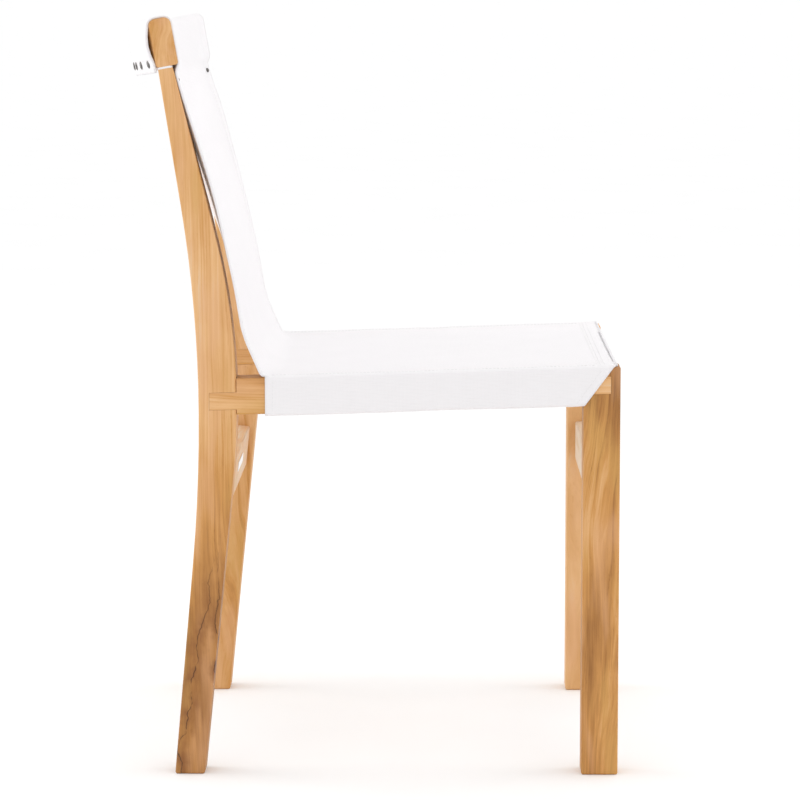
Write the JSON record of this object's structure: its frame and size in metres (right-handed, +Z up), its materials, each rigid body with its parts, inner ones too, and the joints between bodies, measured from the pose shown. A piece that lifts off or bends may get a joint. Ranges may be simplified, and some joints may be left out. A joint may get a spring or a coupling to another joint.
{
  "type": "dining chair",
  "caption": "Fixed wooden dining chair without arms, with curved rear posts, a bowed crest rail and one white cloth sling stretched for seat and back.",
  "frame": {"origin": "on the floor, at the middle of the chair's overall width and depth", "axes": "+Z up, the chair faces -Y, +X towards the sitter's left"},
  "size_m": [0.4946, 0.5571, 0.8407],
  "materials": {
    "teak": "oiled satin, straight grain",
    "dowel_wood": "plain",
    "sling_cloth": "matt, close weave",
    "stud_metal": "satin black",
    "plate_steel": "bright, blank",
    "screw_steel": "brushed"
  },
  "bodies": {
    "root": {"front_leg_left": "teak", "front_leg_right": "teak", "rear_post_left": "teak", "rear_post_right": "teak", "side_rail_left": "teak", "side_rail_right": "teak", "crest_rail": "teak", "front_cross_rail": "teak", "rear_cross_rail": "teak", "flap_batten_left": "teak", "flap_batten_right": "teak", "crest_pad_left": "sling_cloth", "crest_pad_right": "sling_cloth", "crest_dowels_left": "dowel_wood", "crest_dowels_right": "dowel_wood", "sling_seat": "sling_cloth", "sling_back": "sling_cloth", "crest_sleeve": "sling_cloth", "seat_flap_left": "sling_cloth", "seat_flap_right": "sling_cloth", "crest_studs": "stud_metal", "corner_snaps": "stud_metal", "blank_plate": "plate_steel", "batten_screws_left": "screw_steel", "batten_screws_right": "screw_steel"}
  },
  "joints": []
}
